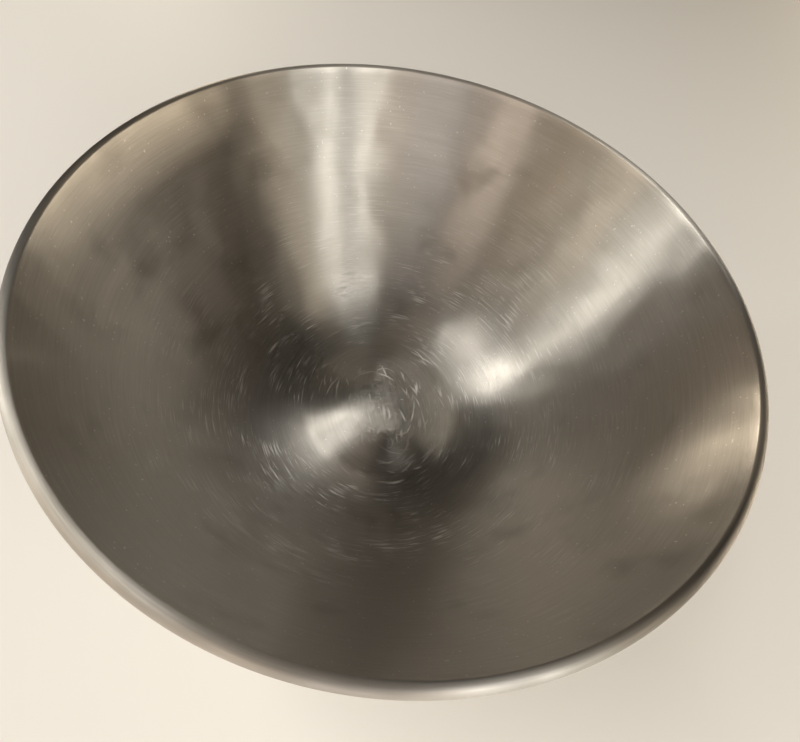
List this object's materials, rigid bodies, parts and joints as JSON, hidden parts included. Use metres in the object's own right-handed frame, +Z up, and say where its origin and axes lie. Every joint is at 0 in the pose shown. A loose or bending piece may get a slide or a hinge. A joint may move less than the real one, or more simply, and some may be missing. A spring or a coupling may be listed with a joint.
{
  "type": "stand mixer bowl",
  "caption": "Round brushed steel mixing bowl with a rolled rim and a domed floor, on a low foot ring with locking lugs.",
  "frame": {"origin": "on the bowl's axis, in the plane the foot ring stands on", "axes": "+Z up along the bowl's axis, out of its mouth; X and Y go through the middles of the foot's lugs"},
  "size_m": [0.244, 0.244, 0.1239],
  "materials": {
    "brushed_stainless": "brushed round the axis inside, with fine use scratches; rim bead polished",
    "foot_stainless": "satin pressed sheet"
  },
  "bodies": {
    "root": {"bowl_shell": "brushed_stainless", "foot_ring": "foot_stainless"}
  },
  "joints": []
}
